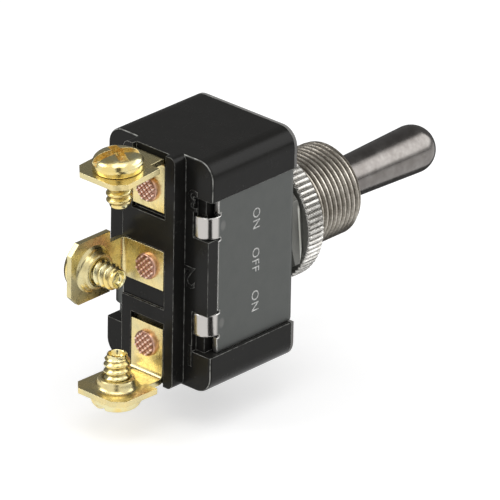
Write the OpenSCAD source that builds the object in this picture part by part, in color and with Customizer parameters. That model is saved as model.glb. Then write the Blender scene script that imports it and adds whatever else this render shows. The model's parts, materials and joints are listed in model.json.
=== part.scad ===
// Panel toggle switch, centre-off, with three screw terminals.
// +Y runs out along the bushing, +Z is the long side of the case, X is its width.
// The sizes along Y count from the front face of the steel frame, where a panel or the backing
// nut bears. from_face() then sets the origin on the bushing's axis, where its free thread starts.

/* [Case] */
// Width of the moulded case
case_w = 17.1; // [16.5:0.1:20]
// Length of the moulded case, in the direction that the lever is thrown
case_l = 30.4; // [30:0.1:36]
// Depth of the case from its front rim to its rear face
case_d = 14.34; // [13.6:0.02:18]
// Radius of the four long corners
corner_r = 2.3; // [1.2:0.1:2.8]
// Softening of the rear rim
rim_r = 0.35; // [0.2:0.05:0.6]
// Wall at the two ends of the cavity
end_wall = 2.3; // [1.2:0.1:2.5]
// Wall along the two sides of the cavity
side_wall = 1.6; // [1:0.1:2]
// Thickness of the case behind the cavity
floor_t = 2.2; // [1.4:0.1:3]

/* [Terminal block] */
// Height of the raised block on the rear face
block_h = 1.95; // [1.2:0.05:3]
// Width of the raised block
block_w = 8.4; // [8:0.1:9]
// Corner radius of the raised block
block_r = 0.8; // [0.3:0.1:1.2]
// Distance of the outer rivets from the ends of the case
rivet_inset = 5; // [4.8:0.1:5.2]
// Gap between a terminal and the wall of its pocket
pocket_gap = 0.15; // [0.05:0.05:0.3]
// Clear room in a pocket past the free end of an outer terminal
pocket_end = 0.8; // [0.4:0.1:1.2]
// Length of the shallow step below the middle terminal
step_l = 2.3; // [1:0.1:2.6]
// Depth of the shallow step below the middle terminal
step_h = 0.3; // [0.1:0.05:0.5]

/* [Steel frame] */
// Thickness of the frame's sheet
frame_t = 0.76; // [0.5:0.02:1]
// How far the frame's legs lie inside the sides of the case
frame_inset = 0.55; // [0.3:0.05:0.8]
// Length of the frame
frame_l = 20.3; // [19:0.1:22]
// Outer radius of the frame's two bends
bend_r = 1.2; // [1.1:0.1:1.8]
// Radius of the frame's front corners, seen from the side
frame_corner_r = 1; // [0.5:0.1:1.6]
// How far the legs stop short of the rear face
leg_short = 1.75; // [1.6:0.05:2.2]
// Width of a clinched lug
lug_w = 2.8; // [2:0.1:3.2]
// Distance of the lugs from the middle of the frame
lug_z = 6.4; // [6:0.1:7]
// Length of a lug's flat tip past its bend
lug_tip = 0.5; // [0.3:0.1:1]
// Thickness of the fibre sheet behind the frame
insulator_t = 0.4; // [0.3:0.05:0.8]

/* [Bushing and nuts] */
// Outside diameter of the bushing's thread
bushing_d = 11.906; // [11.5:0.001:13]
// Length of the bushing in front of the frame
bushing_l = 14.3; // [12:0.1:15]
// Chamfer at the bushing's mouth
bushing_chamfer = 0.4; // [0.2:0.1:0.6]
// Width of the hex nut across its flats
hex_af = 14.29; // [13.5:0.01:16]
// Thickness of the hex nut
hex_t = 1.98; // [1.2:0.01:2.5]
// Angle that the hex nut was left at
hex_turn = 4; // [0:1:29]
// Outside diameter of the knurled nut
knurl_d = 16.67; // [15.8:0.01:19]
// Thickness of the knurled nut
knurl_t = 2.78; // [2.2:0.02:3.6]
// Teeth round the knurled nut
knurl_teeth = 72; // [48:4:84]
// Depth of the knurl
knurl_h = 0.32; // [0.2:0.02:0.45]

/* [Lever] */
// Distance of the lever's tip from the frame
lever_reach = 32.65; // [28:0.05:38]
// Radius of the lever's rounded tip
lever_tip_r = 3.05; // [2.6:0.05:3.6]
// Radius of the lever where it leaves its ball
lever_root_r = 2.16; // [1.9:0.02:2.3]
// Radius of the lever's ball
ball_r = 3.7; // [3.4:0.05:3.9]
// Distance of the ball's centre from the frame
pivot_y = 5; // [4.6:0.1:6]
// Angle of throw to each side
throw = 12.5; // [10:0.5:13]
// Radius of the lever's shank inside the case
shank_r = 2.1; // [1.9:0.05:2.2]
// Length of the shank behind the frame
shank_l = 4; // [3:0.1:4.5]
// Radius of the cross pin
pin_r = 0.8; // [0.5:0.05:1]

/* [Contacts] */
// Width of a terminal at its rivet
plate_w = 5.1; // [4.6:0.1:5.4]
// Thickness of a terminal
terminal_t = 0.7; // [0.6:0.05:1]
// Distance from a terminal's rivet to the outer face of its tab
tab_rise = 4.7; // [4.5:0.05:5.2]
// Width of a terminal's tab
tab_w = 8; // [7:0.1:9]
// Length of a tab from the rear of its plate to its end
tab_l = 9; // [8.4:0.1:10]
// Distance from a tab's end to its screw
tab_hole = 3.8; // [3.4:0.1:4.1]
// Length of a tab's wide part
tab_wide_l = 6.7; // [6:0.1:7]
// Clip off a tab's corners
tab_clip = 1.3; // [0.8:0.1:1.6]
// Inner radius of a terminal's bend
tab_bend_r = 0.6; // [0.4:0.05:1]
// Lean of the top terminal's tab towards the middle
tab_lean = 4; // [0:1:6]
// Lean of the bottom terminal's tab towards the middle
low_tab_lean = 1; // [0:1:6]
// Radius of a rivet's outer head
rivet_r = 1.65; // [1.4:0.05:1.9]
// Radius of a rivet's shank
rivet_shank_r = 1.1; // [0.8:0.05:1.2]
// Radius of the moving contacts
contact_r = 1.4; // [1.2:0.05:1.5]
// Open gap at each pair of contacts with the lever in the middle
contact_gap = 1.15; // [1.1:0.05:1.6]
// Thickness of the rocker's strip
rocker_t = 0.8; // [0.6:0.05:1]
// Width of the rocker
rocker_w = 4.8; // [4:0.1:5]
// Rise of the rocker's wings beside its trough
wing_h = 0.7; // [0.3:0.05:0.7]
// Radius of the plunger and of its round nose
plunger_r = 1.3; // [1.1:0.05:1.4]

/* [Terminal screws] */
// Diameter of the screws' thread
screw_d = 3.3; // [3:0.05:3.7]
// Diameter of a screw's head
head_d = 6.2; // [5.6:0.1:7]
// Height of the rim of a screw's head
head_rim = 1.1; // [0.8:0.05:1.4]
// Height of the dome above the rim
head_dome = 1.1; // [0.8:0.05:1.5]
// Length of a screw under its head
screw_l = 5; // [4.4:0.1:5.6]
// Radius of the collar drawn up round a tapped hole
collar_r = 2.2; // [2.05:0.05:2.6]
// Height of the collar
collar_h = 1.2; // [0.6:0.1:1.6]

/* [Hidden] */

$fn = 48;
cut = 0.5;            // how far a cut runs past what it cuts
seat_gap = 0.02;      // between pieces that stay together
run_gap = 0.05;       // between pieces that move in or on each other

// Stations along Y, from the frame's front face
knurl_y = hex_t + 2 * seat_gap;
free_start = 0.2;     // the free thread starts this far in front of the knurled nut
origin_y = knurl_y + knurl_t + free_start;
rim_y = -frame_t - insulator_t;
rear_y = rim_y - case_d;
block_y = rear_y - block_h;
seat_y = block_y + terminal_t;
floor_y = rear_y + floor_t;
leg_y = rear_y + leg_short;

// Frame
frame_w = case_w - 2 * frame_inset;
leg_in = frame_w / 2 - frame_t;
waist = leg_in - 0.04;            // half width of the case between the legs
gate = frame_l / 2 + 0.05;        // half length of the recess for the frame
lug_pocket_z = lug_z - lug_w / 2 - 0.1;
lug_pocket_x = waist - 0.35;
lug_bend_r = leg_short;        // the bend starts at the leg's edge
lug_relief = 0.4;
lug_seat_x = frame_w / 2 - lug_bend_r - lug_tip - 0.25;
lug_places = [[1, 1], [1, -1], [-1, 1], [-1, -1]];

// Bushing
bushing_r = bushing_d / 2;
run_r = bushing_r - 0.2;          // under the nuts, so that the free thread is a wall of its own
stake_r = bushing_r - 0.97;       // neck through the frame
stake_head = 0.5;                 // how far the staked rim spreads
seat_r = ball_r + run_gap;
throat_y = pivot_y + ball_r * 0.6;
mouth_y = bushing_l;
pin_end = ball_r + 0.6;

// Lever
tip_y = lever_reach - lever_tip_r;
lever_slope = (lever_tip_r - lever_root_r) / (tip_y - pivot_y);
function lever_r_at(y) = lever_root_r + lever_slope * (y - pivot_y);
function sweep_r(y) = (y - pivot_y) * tan(throw) + lever_r_at(y) / cos(throw);
throat_r = sweep_r(throat_y) + 0.15;
mouth_r = sweep_r(mouth_y) + 0.2;
bore_r = plunger_r + run_gap;
bore_top = 2.5;
tail_l = 2.4;                     // part of the plunger inside the shank

// Contact stack, from the cavity's floor forwards
pitch = case_l / 2 - rivet_inset;
rivet_head_t = 0.6;
contact_t = 0.4;
button_t = 0.3;
dome_t = 0.3;
rocker_y = floor_y + rivet_head_t + contact_t + contact_gap + dome_t + button_t + rocker_t / 2;
nose_gap = 0.15;
nose_y = rocker_y + rocker_t / 2 + nose_gap;
trough = 0.8;                     // half width of the flat in the rocker's trough
wing_z = 3.2;
arm_z = 6;
trunnion_r = 0.4;
ear_t = 0.7;
ear_x = rocker_w / 2 + 0.15;

// Screws
hole_r = screw_d / 2;
shank_clear = run_gap;
screw_point = 0.4;                // chamfer at a screw's end
head_r = head_d / 2;
tab_end = tab_l + terminal_t;     // from the pocket's floor

// Y counts from the frame's front face inside this
module from_face() translate([0, -origin_y, 0]) children();

// Local z points rearwards from the frame's face and local y points up
module rearwards() from_face() rotate([90, 0, 0]) children();

// Local z points forwards along the bushing
module forwards() from_face() rotate([-90, 0, 0]) children();

module rounded(w, l, r) {
    square([w - 2 * r, l], center = true);
    square([w, l - 2 * r], center = true);
    for (x = [-1, 1], y = [-1, 1]) translate([x * (w / 2 - r), y * (l / 2 - r)]) circle(r);
}

// Section through a softened rim
module rim_section(len, e) intersection() {
    union() {
        square([len - 2 * e, 2 * e], center = true);
        for (s = [-1, 1]) translate([s * (len / 2 - e), 0]) circle(e, $fn = 24);
    }
    translate([-len / 2, 0]) square([len, e]);
}

// Prism with round corners whose far rim is softened
module soft_prism(w, l, d, r, e) {
    linear_extrude(d - e) rounded(w, l, r);
    translate([0, 0, d - e]) {
        for (x = [-1, 1], y = [-1, 1]) translate([x * (w / 2 - r), y * (l / 2 - r), 0])
            rotate_extrude() intersection() {
                rim_section(2 * r, e);
                square([r, e]);
            }
        rotate([90, 0, 0]) linear_extrude(l - 2 * r, center = true) rim_section(w, e);
        rotate([90, 0, 90]) linear_extrude(w - 2 * r, center = true) rim_section(l, e);
    }
}

// Place for what belongs to terminal i: -1 is terminal 1 at the bottom, 1 is terminal 3 at the top
module at_terminal(i) translate([0, 0, i * pitch]) children();

// ---- Case ----
// Section of what the frame folds round, with the legs as sides and a gap all round
module frame_core(gap) {
    r = bend_r - frame_t - gap;
    x = leg_in - gap - r;
    top = -frame_t - gap;
    translate([-x, leg_y - case_d]) square([2 * x, top - leg_y + case_d]);
    translate([-x - r, leg_y - case_d]) square([2 * (x + r), top - r - leg_y + case_d]);
    for (s = [-1, 1]) translate([s * x, top - r]) circle(r);
}

// The room that the frame's bends take from the case and the fibre sheet
module frame_room() rotate([-90, 0, 0]) linear_extrude(2 * gate, center = true) difference() {
    translate([-case_w, leg_y]) square([2 * case_w, cut - leg_y]);
    frame_core(0.04);
}

// The room that the lugs' bends take, so that each lug lies round a rounded edge
module lug_room() for (p = lug_places) rotate([-90, 0, 0]) mirror([p[0] > 0 ? 0 : 1, 0, 0])
    translate([0, 0, p[1] * lug_z]) linear_extrude(lug_w + 0.2, center = true) difference() {
        translate([frame_w / 2 - lug_bend_r, rear_y - cut]) square(lug_bend_r + cut);
        translate([frame_w / 2 - lug_bend_r, rear_y + lug_bend_r])
            circle(lug_bend_r - frame_t - 0.03);
    }

module leg_recess() {
    frame_room();
    lug_room();
    for (s = [-1, 1]) {
        // the legs lie along the waist
        translate([s > 0 ? waist : -waist - case_w, -gate, -cut])
            cube([case_w, 2 * gate, -leg_y + 0.05 + cut]);
        // behind the legs, the waist steps in again where the lugs bend round it
        for (z = [-1, 1])
            translate([s > 0 ? lug_pocket_x : -lug_pocket_x - case_w,
                z > 0 ? lug_pocket_z : -gate, -leg_y - cut])
                cube([case_w, gate - lug_pocket_z, case_d]);
        // shallow seats for the lug tips
        for (z = [-1, 1])
            translate([s > 0 ? lug_seat_x : -case_w, z > 0 ? lug_pocket_z : -gate,
                -rear_y - frame_t - 0.02])
                cube([case_w - lug_seat_x, gate - lug_pocket_z, frame_t + block_h]);
        // between the lug seats the shoulder is flush with the legs
        translate([s > 0 ? frame_w / 2 : -frame_w / 2 - case_w, -lug_pocket_z, -leg_y - cut])
            cube([case_w, 2 * lug_pocket_z, case_d]);
    }
}

module cavity() {
    w = 2 * (waist - side_wall);
    l = case_l - 2 * end_wall;
    translate([0, 0, -rim_y - cut]) linear_extrude(rim_y - floor_y + cut) rounded(w, l, 1.2);
}

module block() {
    pocket_w = plate_w + 2 * pocket_gap;
    outer = pitch - plate_w / 2 - pocket_end;
    translate([0, 0, -rear_y - 1]) difference() {
        linear_extrude(block_h + 1) rounded(block_w, case_l, block_r);
        // outer pockets are open at the ends of the case
        for (z = [-1, 1])
            translate([-pocket_w / 2, z > 0 ? outer : -case_l, 1 + block_h - terminal_t])
                cube([pocket_w, case_l - outer, block_h]);
        // the middle pocket is open towards -X
        translate([-block_w, -pocket_w / 2, 1 + block_h - terminal_t])
            cube([block_w + pocket_w / 2, pocket_w, block_h]);
        translate([-block_w, -pocket_w / 2 - step_l, 1 + block_h - step_h])
            cube([block_w + pocket_w / 2, step_l + cut, block_h]);
    }
}

module case() color([0.13, 0.13, 0.125]) rearwards() difference() {
    union() {
        difference() {
            translate([0, 0, -rim_y]) soft_prism(case_w, case_l, case_d, corner_r, rim_r);
            leg_recess();
        }
        block();
    }
    cavity();
    for (i = [-1:1]) translate([0, i * pitch, -floor_y - cut])
        cylinder(r = rivet_shank_r + seat_gap, h = floor_t + block_h + 2 * cut);
}

// ---- Fibre sheet between the case and the frame ----
module front_insulator() color([0.42, 0.41, 0.39]) rearwards() difference() {
    translate([0, 0, frame_t]) linear_extrude(insulator_t) difference() {
        rounded(case_w, case_l, corner_r);
        circle(stake_r + stake_head + 0.1);
    }
    frame_room();
}

// ---- Steel frame ----
module u_section() difference() {
    union() {
        translate([-frame_w / 2, leg_y]) square([frame_w, -leg_y - bend_r]);
        translate([-frame_w / 2 + bend_r, leg_y]) square([frame_w - 2 * bend_r, -leg_y]);
        for (s = [-1, 1]) translate([s * (frame_w / 2 - bend_r), -bend_r]) circle(bend_r);
    }
    r = bend_r - frame_t;
    translate([-leg_in, leg_y - cut]) square([2 * leg_in, -leg_y + cut - bend_r]);
    translate([-leg_in + r, leg_y - cut]) square([2 * (leg_in - r), -leg_y + cut - frame_t]);
    for (s = [-1, 1]) translate([s * (leg_in - r), -frame_t - r]) circle(r);
}

// One lug's section: it leaves the leg, turns through a right angle and lies on its seat
module lug_section() {
    turn = [frame_w / 2 - lug_bend_r, rear_y + lug_bend_r];
    translate([leg_in, leg_y - 0.01]) square([frame_t, lug_relief + 0.02]);
    intersection() {
        translate(turn) difference() {
            circle(lug_bend_r);
            circle(lug_bend_r - frame_t);
        }
        translate([turn[0], turn[1] - lug_bend_r]) square(lug_bend_r);
    }
    translate([turn[0] - lug_tip, rear_y]) square([lug_tip + 0.01, frame_t]);
}

module steel_frame() color([0.4, 0.4, 0.4]) from_face() {
    difference() {
        intersection() {
            linear_extrude(frame_l, center = true) u_section();
            rotate([90, 0, 90]) linear_extrude(frame_w + cut, center = true) union() {
                translate([leg_y, -frame_l / 2]) square([-leg_y - frame_corner_r, frame_l]);
                translate([leg_y, frame_corner_r - frame_l / 2])
                    square([-leg_y, frame_l - 2 * frame_corner_r]);
                for (z = [-1, 1])
                    translate([-frame_corner_r, z * (frame_l / 2 - frame_corner_r)])
                        circle(frame_corner_r);
            }
        }
        rotate([90, 0, 0]) cylinder(r = stake_r + seat_gap, h = 4 * frame_t, center = true);
        // relief notches beside the lugs
        for (z = [-1, 1]) translate([-frame_w, leg_y - cut, z * lug_z - lug_w / 2 - lug_relief])
            cube([2 * frame_w, cut + lug_relief, lug_w + 2 * lug_relief]);
    }
    for (p = lug_places) mirror([p[0] > 0 ? 0 : 1, 0, 0])
        translate([0, 0, p[1] * lug_z]) linear_extrude(lug_w, center = true) lug_section();
}

// ---- Bushing ----
module bushing() color([0.55, 0.53, 0.49]) forwards() difference() {
    union() {
        cylinder(r = run_r, h = origin_y);
        translate([0, 0, origin_y])
            cylinder(r = bushing_r, h = bushing_l - bushing_chamfer - origin_y);
        translate([0, 0, bushing_l - bushing_chamfer])
            cylinder(r1 = bushing_r, r2 = bushing_r - bushing_chamfer, h = bushing_chamfer);
        translate([0, 0, -frame_t - 0.01]) cylinder(r = stake_r, h = frame_t + 0.02);
        translate([0, 0, rim_y + 0.1]) cylinder(r = stake_r + stake_head, h = insulator_t - 0.1);
    }
    translate([0, 0, rim_y - cut]) cylinder(r = seat_r, h = pivot_y - rim_y + cut);
    translate([0, 0, pivot_y]) sphere(seat_r);
    translate([0, 0, throat_y]) cylinder(r1 = throat_r, r2 = mouth_r, h = mouth_y - throat_y);
    translate([0, 0, mouth_y - 0.01]) cylinder(r = mouth_r, h = cut);
    translate([0, 0, pivot_y]) rotate([0, 90, 0])
        cylinder(r = pin_r + run_gap, h = 2 * (pin_end + 0.1), center = true);
    translate([-pin_end - 0.1, -pin_r - run_gap, rim_y - cut])
        cube([2 * (pin_end + 0.1), 2 * (pin_r + run_gap), pivot_y - rim_y + cut]);
}

// ---- Nuts ----
module hex_nut() color([0.62, 0.61, 0.58]) forwards() translate([0, 0, seat_gap]) difference() {
    face_r = hex_af / 2 + 0.05;
    intersection() {
        rotate(30 - hex_turn) cylinder(r = hex_af / sqrt(3), h = hex_t, $fn = 6);
        // both faces are chamfered at 30 degrees
        rotate_extrude() polygon([[0, 0], [face_r, 0], [face_r + hex_t * 0.866, hex_t / 2],
            [face_r, hex_t], [0, hex_t]]);
    }
    translate([0, 0, -cut]) cylinder(r = bushing_r + run_gap, h = hex_t + 2 * cut);
}

module knurled_nut() color([0.7, 0.7, 0.68]) forwards() translate([0, 0, knurl_y]) difference() {
    r = knurl_d / 2;
    land = 0.4;
    root = r - knurl_h;
    union() {
        cylinder(r1 = root - land * 0.6, r2 = root, h = land);
        translate([0, 0, land]) cylinder(r = root, h = knurl_t - 2 * land);
        translate([0, 0, knurl_t - land]) cylinder(r1 = root, r2 = root - land * 0.6, h = land);
        translate([0, 0, 0.7 * land]) linear_extrude(knurl_t - 1.4 * land)
            polygon([for (i = [0:2 * knurl_teeth - 1]) let (a = 180 * i / knurl_teeth,
                q = i % 2 == 0 ? r : root - 0.05) [q * cos(a), q * sin(a)]]);
    }
    translate([0, 0, -cut]) cylinder(r = bushing_r + run_gap, h = knurl_t + 2 * cut);
}

// ---- Lever ----
module lever() color([0.32, 0.31, 0.3]) forwards() difference() {
    union() {
        translate([0, 0, pivot_y]) sphere(ball_r);
        translate([0, 0, pivot_y])
            cylinder(r1 = lever_root_r, r2 = lever_tip_r, h = tip_y - pivot_y);
        translate([0, 0, tip_y]) sphere(lever_tip_r);
        translate([0, 0, -shank_l]) cylinder(r = shank_r, h = shank_l + pivot_y);
    }
    translate([0, 0, -shank_l - cut]) cylinder(r = bore_r, h = shank_l + cut + bore_top);
    translate([0, 0, pivot_y]) rotate([0, 90, 0])
        cylinder(r = pin_r + seat_gap, h = 4 * ball_r, center = true);
}

module lever_pin() color([0.6, 0.6, 0.6]) from_face() translate([0, pivot_y, 0]) rotate([0, 90, 0])
    cylinder(r = pin_r, h = 2 * pin_end, center = true);

// ---- Plunger and spring in the lever's shank ----
tail_y = -shank_l + tail_l;

module plunger() color([0.75, 0.7, 0.6]) forwards() {
    translate([0, 0, nose_y + plunger_r]) sphere(plunger_r);
    translate([0, 0, nose_y + plunger_r]) cylinder(r = plunger_r, h = tail_y - nose_y - plunger_r);
}

wire_r = 0.17;
coil_r = plunger_r - wire_r - run_gap;
coil_turns = 6;
coil_sides = 8;
coil_steps = 20;
coil_y0 = tail_y + wire_r + seat_gap;
coil_y1 = bore_top - wire_r - seat_gap;
coil_count = coil_turns * coil_steps;

// Point j on ring i of the wire
function coil_point(i, j) = let (a = 360 * i / coil_steps, b = 360 * j / coil_sides,
    q = coil_r + wire_r * cos(b)) [q * cos(a), q * sin(a),
    coil_y0 + (coil_y1 - coil_y0) * i / coil_count + wire_r * sin(b)];

module plunger_spring() color([0.6, 0.6, 0.62]) forwards() polyhedron(
    points = [for (i = [0:coil_count], j = [0:coil_sides - 1]) coil_point(i, j)],
    faces = concat(
        [[for (j = [0:coil_sides - 1]) j]],
        [for (i = [0:coil_count - 1], j = [0:coil_sides - 1]) let (k = (j + 1) % coil_sides)
            [i * coil_sides + j, (i + 1) * coil_sides + j,
             (i + 1) * coil_sides + k, i * coil_sides + k]],
        [[for (j = [coil_sides - 1:-1:0]) coil_count * coil_sides + j]]));

// ---- Rocker ----
module rocker_half() {
    end = pitch + contact_r + 0.1;
    points = [[0, 0], [trough, 0], [wing_z, wing_h], [arm_z, 0], [end, 0]];
    polygon(concat([for (p = points) p + [0, rocker_t / 2]],
        [for (i = [4:-1:0]) points[i] - [0, rocker_t / 2]]));
}

module rocker() color([0.78, 0.6, 0.3]) from_face() translate([0, rocker_y, 0]) {
    rotate([90, 0, 90]) rotate(90) linear_extrude(rocker_w, center = true)
        for (s = [0, 1]) mirror([s, 0]) rocker_half();
    rotate([0, 90, 0]) cylinder(r = trunnion_r, h = 2 * (ear_x + ear_t), center = true);
}

module rocker_contact(i) color([0.85, 0.85, 0.83]) {
    ball = (pow(contact_r, 2) + pow(dome_t, 2)) / (2 * dome_t);
    at_terminal(i) rearwards() translate([0, 0, -rocker_y + rocker_t / 2]) intersection() {
        cylinder(r = contact_r, h = button_t + dome_t);
        translate([0, 0, button_t + dome_t - ball]) sphere(ball, $fn = 96);
    }
}

// Bracket that carries the rocker on its two ears
module pivot_saddle() color([0.78, 0.6, 0.3]) from_face() difference() {
    w = 2 * (ear_x + ear_t);
    z = 2;
    ear_top = rocker_y + trunnion_r + 0.3;
    union() {
        translate([-w / 2, floor_y, -z]) cube([w, ear_t, 2 * z]);
        for (s = [-1, 1]) translate([s > 0 ? ear_x : -ear_x - ear_t, floor_y, -z])
            cube([ear_t, ear_top - floor_y, 2 * z]);
    }
    translate([0, rocker_y, 0]) rotate([0, 90, 0])
        cylinder(r = trunnion_r + run_gap, h = w + 1, center = true);
    translate([-w, rocker_y, -trunnion_r - run_gap]) cube([2 * w, 2, 2 * (trunnion_r + run_gap)]);
    translate([0, floor_y, 0]) rotate([90, 0, 0])
        cylinder(r = rivet_shank_r + seat_gap, h = 4 * ear_t, center = true);
}

// ---- Terminals ----
// In a terminal's own frame its rivet is at the origin, x is its width, y points to its tab
// and z rearwards from the floor of its pocket.
bend_out = tab_bend_r + terminal_t;
bend_at = [tab_rise - bend_out, bend_out];

module bend_section(lean) intersection() {
    far = 3 * bend_out;
    difference() {
        circle(bend_out);
        circle(tab_bend_r);
    }
    polygon([[0, 0], [0, -far], [far, -far], far * [cos(lean), sin(lean)]]);
}

// Carries children from the tab's own plane: x across, y along the tab, z outwards
module on_tab(lean) translate([0, bend_at[0], bend_at[1]]) rotate([lean, 0, 0])
    translate([0, tab_bend_r, 0]) rotate([90, 0, 0]) mirror([0, 0, 1]) children();

tab_run = tab_end - bend_out;

module tab_outline() {
    polygon([[-tab_w / 2, tab_run - tab_wide_l], [tab_w / 2, tab_run - tab_wide_l],
        [tab_w / 2, tab_run - tab_clip], [tab_w / 2 - tab_clip, tab_run],
        [tab_clip - tab_w / 2, tab_run], [-tab_w / 2, tab_run - tab_clip]]);
    translate([-plate_w / 2, 0]) square([plate_w, tab_run - tab_clip]);
}

module terminal(lean) color([0.72, 0.58, 0.26]) difference() {
    union() {
        translate([-plate_w / 2, -plate_w / 2, 0])
            cube([plate_w, bend_at[0] + plate_w / 2, terminal_t]);
        rotate([90, 0, 90]) linear_extrude(plate_w, center = true) translate(bend_at)
            bend_section(lean);
        on_tab(lean) {
            linear_extrude(terminal_t) tab_outline();
            translate([0, tab_run - tab_hole, -collar_h]) cylinder(r = collar_r, h = collar_h + 0.01);
        }
    }
    on_tab(lean) translate([0, tab_run - tab_hole, -collar_h - cut])
        cylinder(r = hole_r, h = collar_h + terminal_t + 2 * cut);
    translate([0, 0, -cut]) cylinder(r = rivet_shank_r + seat_gap, h = terminal_t + 2 * cut);
}

// Carries children from a terminal's own frame to place i
module terminal_place(i) from_face() translate([0, seat_y, i * pitch])
    rotate([90, i < 0 ? 180 : i > 0 ? 0 : -90, 0]) children();

module terminal_1() terminal_place(-1) terminal(low_tab_lean);
module terminal_2() terminal_place(0) terminal(0);
module terminal_3() terminal_place(1) terminal(tab_lean);

// ---- Rivets and fixed contacts ----
module rivet(i) color([0.72, 0.45, 0.34]) at_terminal(i) {
    inner = i == 0 ? ear_t : 0;
    head = 0.5;
    pitch_w = 0.62;
    rearwards() {
        translate([0, 0, -floor_y - inner])
            cylinder(r = rivet_shank_r, h = inner + floor_y - block_y + 0.01);
        translate([0, 0, -floor_y - inner - rivet_head_t]) cylinder(r = 1.7, h = rivet_head_t);
        translate([0, 0, -block_y]) difference() {
            cylinder(r = rivet_r, h = head);
            // crossed grooves leave the waffle of small points
            for (a = [45, -45], k = [-2:2]) rotate(a) translate([k * pitch_w - 0.08, -2, head - 0.2])
                cube([0.16, 4, 1]);
        }
    }
}

module fixed_contact(i) color([0.85, 0.85, 0.83]) at_terminal(i) rearwards()
    translate([0, 0, -floor_y - rivet_head_t - contact_t]) cylinder(r = contact_r + 0.2, h = contact_t);

// ---- Terminal screws ----
module screw() color([0.8, 0.66, 0.3]) difference() {
    ball = (pow(head_r, 2) + pow(head_dome, 2)) / (2 * head_dome);
    union() {
        r = hole_r - shank_clear;
        translate([0, 0, -screw_l]) cylinder(r1 = r - screw_point, r2 = r, h = screw_point);
        translate([0, 0, screw_point - screw_l]) cylinder(r = r, h = screw_l - screw_point + 0.01);
        cylinder(r = head_r, h = head_rim);
        translate([0, 0, head_rim]) intersection() {
            cylinder(r = head_r, h = head_dome);
            translate([0, 0, head_dome - ball]) sphere(ball, $fn = 96);
        }
    }
    // crossed driver recess
    for (a = [20, 110]) rotate(a) translate([-0.4 * head_r * 1.6, -0.45, head_rim - 0.2])
        cube([0.8 * head_r * 1.6, 0.9, 2 * head_dome]);
    // cupped end
    translate([0, 0, -screw_l - 0.01]) cylinder(r1 = hole_r - screw_point - 0.3, r2 = 0.5, h = 0.8);
}

module terminal_screw(i) terminal_place(i) on_tab(i == 0 ? 0 : i > 0 ? tab_lean : low_tab_lean)
    translate([0, tab_run - tab_hole, terminal_t + seat_gap]) screw();

case();
front_insulator();
steel_frame();
bushing();
hex_nut();
knurled_nut();
lever();
lever_pin();
plunger();
plunger_spring();
rocker();
rocker_contact(-1);  // rocker_contact_1
rocker_contact(1);  // rocker_contact_3
pivot_saddle();
terminal_1();
terminal_2();
terminal_3();
rivet(-1);  // rivet_1
rivet(0);  // rivet_2
rivet(1);  // rivet_3
fixed_contact(-1);  // fixed_contact_1
fixed_contact(1);  // fixed_contact_3
terminal_screw(-1);  // terminal_screw_1
terminal_screw(0);  // terminal_screw_2
terminal_screw(1);  // terminal_screw_3
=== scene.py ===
import json
import math

import bmesh
import bpy
from mathutils import Matrix, Vector


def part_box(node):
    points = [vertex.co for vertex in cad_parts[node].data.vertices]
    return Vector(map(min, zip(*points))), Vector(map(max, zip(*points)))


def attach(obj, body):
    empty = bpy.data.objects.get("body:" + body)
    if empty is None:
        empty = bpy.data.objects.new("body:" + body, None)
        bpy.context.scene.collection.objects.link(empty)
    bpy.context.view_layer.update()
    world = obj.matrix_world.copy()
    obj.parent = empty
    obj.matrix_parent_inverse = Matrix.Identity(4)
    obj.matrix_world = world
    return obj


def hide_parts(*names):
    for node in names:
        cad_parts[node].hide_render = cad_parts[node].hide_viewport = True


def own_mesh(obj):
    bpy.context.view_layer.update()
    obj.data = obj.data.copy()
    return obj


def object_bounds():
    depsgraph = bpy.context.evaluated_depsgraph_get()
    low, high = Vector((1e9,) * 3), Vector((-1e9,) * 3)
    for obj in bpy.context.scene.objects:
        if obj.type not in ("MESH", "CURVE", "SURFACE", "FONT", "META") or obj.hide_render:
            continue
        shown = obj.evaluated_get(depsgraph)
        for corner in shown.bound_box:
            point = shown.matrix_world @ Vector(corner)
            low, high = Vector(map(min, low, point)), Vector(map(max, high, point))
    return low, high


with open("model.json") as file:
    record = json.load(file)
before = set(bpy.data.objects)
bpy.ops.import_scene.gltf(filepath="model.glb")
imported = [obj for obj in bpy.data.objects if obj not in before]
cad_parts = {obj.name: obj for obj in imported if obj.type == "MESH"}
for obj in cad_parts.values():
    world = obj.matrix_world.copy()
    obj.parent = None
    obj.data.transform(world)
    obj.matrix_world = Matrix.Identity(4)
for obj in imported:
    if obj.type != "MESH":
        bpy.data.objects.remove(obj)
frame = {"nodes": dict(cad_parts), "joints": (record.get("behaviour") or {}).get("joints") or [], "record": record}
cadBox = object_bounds()
nodes = frame["nodes"]
mounts = {mount["name"]: mount for mount in frame["record"]["mounts"]}
scene = bpy.context.scene
mm = 0.001
print("frame loaded with", len(nodes), "nodes")


# A socket that Python expressions can work on: each operator adds its Math node
class Value:
    def __init__(self, graph, socket):
        self.graph, self.socket = graph, socket

    def other(self, name):
        return Value(self.graph, self.socket.node.outputs[name])

    def __add__(self, term):
        return self.graph.maths("ADD", self, term)

    def __radd__(self, term):
        return self.graph.maths("ADD", term, self)

    def __sub__(self, term):
        return self.graph.maths("SUBTRACT", self, term)

    def __rsub__(self, term):
        return self.graph.maths("SUBTRACT", term, self)

    def __mul__(self, term):
        return self.graph.maths("MULTIPLY", self, term)

    def __rmul__(self, term):
        return self.graph.maths("MULTIPLY", term, self)

    def __truediv__(self, term):
        return self.graph.maths("DIVIDE", self, term)

    def __rtruediv__(self, term):
        return self.graph.maths("DIVIDE", term, self)


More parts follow.
